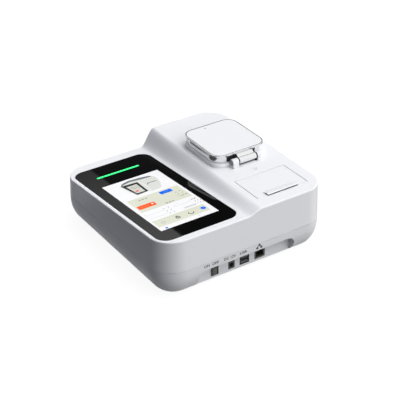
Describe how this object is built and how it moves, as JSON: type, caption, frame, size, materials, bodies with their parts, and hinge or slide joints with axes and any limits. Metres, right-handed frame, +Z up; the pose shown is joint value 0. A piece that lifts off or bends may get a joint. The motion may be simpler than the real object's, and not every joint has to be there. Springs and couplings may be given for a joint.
{
  "type": "immunoassay analyzer",
  "caption": "Benchtop immunoassay analyzer with a sloped touch panel, a hinged lid over a cassette tray, a printer under its own door, and a recessed row of ports with a rocker switch.",
  "frame": {"origin": "centre of the footprint, on the surface the feet stand on", "axes": "+Z up, +X along the port side towards the higher deck, -Y towards the port side; the lid and the printer door are on the +X deck, the touch panel on the -X deck"},
  "size_m": [0.2556, 0.263, 0.1121],
  "materials": {
    "lower_case": "fine satin white",
    "upper_case": "fine satin white",
    "black_glass": "glossy black front cover with a printed back",
    "screen": "screen module",
    "light_guide": "green light guide",
    "chrome_trim": "bright chrome plating",
    "hinge_metal": "satin chrome plating",
    "steel": "bright steel",
    "motor_case": "dark plated steel",
    "frame_aluminium": "machined",
    "dark_plastic": "dark grey moulded",
    "black_plastic": "black moulded",
    "gear_plastic": "natural moulded",
    "usb_metal": "plated steel shell with dark inside",
    "circuit_board": "green solder mask",
    "lens_glass": "coated lens",
    "window_glass": "clear window",
    "paper": "plain receipt paper, wound",
    "black_rubber": "matt"
  },
  "bodies": {
    "case": {"lower_shell": "lower_case", "upper_shell": "upper_case", "foot_0": "black_rubber", "foot_1": "black_rubber", "foot_2": "black_rubber", "foot_3": "black_rubber", "case_screw_0": "steel", "case_screw_1": "steel", "case_screw_2": "steel", "case_screw_3": "steel", "mainboard": "circuit_board", "usb_socket": "usb_metal", "lan_socket": "black_plastic", "dc_jack": "black_plastic", "switch_housing": "black_plastic", "front_glass": "black_glass", "screen_module": "screen", "light_bar": "light_guide", "light_bar_board": "circuit_board", "lid_base_ring": "chrome_trim", "lid_hinge_base": "hinge_metal", "lid_hinge_pin": "steel", "chamber_well": "dark_plastic", "scan_window": "window_glass", "cassette_tray": "dark_plastic", "scan_frame": "frame_aluminium", "guide_rod_left": "steel", "guide_rod_right": "steel", "scan_motor": "motor_case", "door_hinge_pin": "steel", "printer_motor": "motor_case", "printer_frame": "dark_plastic", "print_head": "frame_aluminium", "tear_bar": "steel"},
    "lid": {"lid_cover": "upper_case", "lid_band": "chrome_trim", "lid_liner": "dark_plastic", "lid_hinge_leaf": "hinge_metal"},
    "door": {"printer_door": "upper_case"},
    "platen": {"platen_shaft": "steel", "platen_roller": "black_rubber", "platen_gear": "gear_plastic"},
    "drive": {"drive_gear": "gear_plastic"},
    "paper": {"paper_roll": "paper"},
    "rocker": {"switch_rocker": "black_plastic"},
    "scan_head": {"scan_carriage": "black_plastic", "lens_0": "lens_glass", "lens_1": "lens_glass", "lens_2": "lens_glass", "optics_board": "circuit_board"},
    "scan_drive": {"lead_screw": "steel"}
  },
  "joints": [
    {"name": "lid_hinge", "type": "hinge", "parent": "case", "child": "lid", "pos_m": [0.0696, -0.02505, 0.101], "axis": [1, 0, 0], "range_deg": [0, 100]},
    {"name": "door_hinge", "type": "hinge", "parent": "case", "child": "door", "pos_m": [0.0685, -0.0588, 0.0922], "axis": [-1, 0, 0], "range_deg": [0, 80]},
    {"name": "platen_spin", "type": "hinge", "parent": "door", "child": "platen", "pos_m": [0.0685, -0.101, 0.0845], "axis": [1, 0, 0], "continuous": true},
    {"name": "drive_spin", "type": "hinge", "parent": "case", "child": "drive", "pos_m": [0.0951, -0.09883, 0.0726], "axis": [1, 0, 0], "continuous": true},
    {"name": "paper_spin", "type": "hinge", "parent": "case", "child": "paper", "pos_m": [0.0685, -0.0801, 0.0693], "axis": [1, 0, 0], "continuous": true},
    {"name": "power_rocker", "type": "hinge", "parent": "case", "child": "rocker", "pos_m": [-0.0437, -0.1172, 0.0166], "axis": [0, 0, -1], "range_deg": [0, 16]},
    {"name": "scan_slide", "type": "slide", "parent": "case", "child": "scan_head", "axis": [0, 1, 0], "range_m": [0, 0.04]},
    {"name": "scan_screw_spin", "type": "hinge", "parent": "case", "child": "scan_drive", "pos_m": [0.06745, -0.01475, 0.068], "axis": [0, 1, 0], "range_deg": [-1800, 0]}
  ],
  "couplings": [
    {"joint": "drive_spin", "follows": "platen_spin", "ratio": -1},
    {"joint": "paper_spin", "follows": "platen_spin", "ratio": -0.26316},
    {"joint": "scan_screw_spin", "follows": "scan_slide", "rad_per_m": -785.4}
  ]
}
